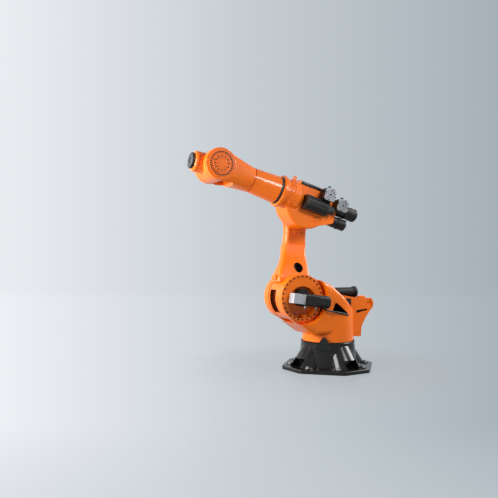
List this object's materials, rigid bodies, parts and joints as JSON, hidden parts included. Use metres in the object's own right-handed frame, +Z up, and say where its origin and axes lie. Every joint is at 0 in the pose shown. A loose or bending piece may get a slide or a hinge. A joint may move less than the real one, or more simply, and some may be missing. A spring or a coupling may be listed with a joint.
{
  "type": "six-axis industrial robot arm",
  "caption": "Heavy floor-standing articulated robot arm: bolted base, turning column, link arm, forearm with rear motors, forked wrist and tool flange.",
  "frame": {"origin": "centre of the base's foot, on the floor", "axes": "+X is forward, the way the arm points at rest; +Y is the robot's left; +Z is up"},
  "size_m": [3.0418, 1.4338, 3.2044],
  "materials": {
    "orange_paint": "satin",
    "black_paint": "gloss",
    "motor_black": "satin",
    "bare_aluminium": "satin",
    "steel": "satin",
    "seal_black": "matte",
    "flange_black": "satin"
  },
  "bodies": {
    "base": {"base_casting": "black_paint", "base_slew_ring": "steel", "base_stop": "black_paint", "base_socket_box": "black_paint", "base_socket_1": "black_paint", "base_socket_2": "black_paint", "base_socket_3": "black_paint"},
    "column": {"column_casting": "orange_paint", "shoulder_gear_cover": "orange_paint", "shoulder_bearing_cover": "orange_paint", "shoulder_drive_flange": "motor_black", "shoulder_drive_head": "bare_aluminium", "shoulder_motor": "motor_black", "shoulder_motor_end": "motor_black", "shoulder_cable": "seal_black", "counterbalance_tank": "motor_black", "counterbalance_cylinder": "motor_black", "counterbalance_pin": "orange_paint", "horn_valve": "orange_paint", "horn_bumper": "seal_black"},
    "link_arm": {"link_casting": "orange_paint", "link_end_cap": "orange_paint"},
    "arm": {"arm_casting": "orange_paint", "elbow_axle": "steel", "arm_lug": "orange_paint", "elbow_motor": "motor_black", "drive_case_a": "motor_black", "drive_cap_a": "bare_aluminium", "drive_plug_a": "motor_black", "drive_case_b": "motor_black", "drive_cap_b": "bare_aluminium", "drive_plug_b": "motor_black", "rear_motor": "motor_black", "low_motor": "motor_black", "arm_hose": "seal_black"},
    "forearm": {"forearm_seal": "seal_black", "forearm_tube": "orange_paint", "wrist_fork": "orange_paint", "wrist_cap_left": "orange_paint", "wrist_cap_right": "orange_paint"},
    "hand": {"hand_drum": "orange_paint"},
    "tool_flange": {"tool_flange": "flange_black"}
  },
  "joints": [
    {"name": "axis_1_turn", "type": "hinge", "parent": "base", "child": "column", "pos_m": [0, 0, 0.42], "axis": [0, 0, 1], "range_deg": [-98, 202]},
    {"name": "axis_2_shoulder", "type": "hinge", "parent": "column", "child": "link_arm", "pos_m": [0.6, 0, 1.1], "axis": [0, 1, 0], "range_deg": [-34.3, 113.2]},
    {"name": "axis_3_elbow", "type": "hinge", "parent": "link_arm", "child": "arm", "pos_m": [0.46095, 0, 2.49308], "axis": [0, -1, 0], "range_deg": [-66.2, 188.8]},
    {"name": "axis_4_roll", "type": "hinge", "parent": "arm", "child": "forearm", "pos_m": [0.44787, 0.13, 2.53613], "axis": [0.9568, 0, 0.2907], "range_deg": [-350, 350]},
    {"name": "axis_5_wrist", "type": "hinge", "parent": "forearm", "child": "hand", "pos_m": [1.90701, 0.13, 2.97946], "axis": [0, -1, 0], "range_deg": [-110.7, 125.3]},
    {"name": "axis_6_flange", "type": "hinge", "parent": "hand", "child": "tool_flange", "pos_m": [2.2738, 0.13, 3.04149], "axis": [0.986, 0, 0.1668], "range_deg": [-350, 350]}
  ]
}
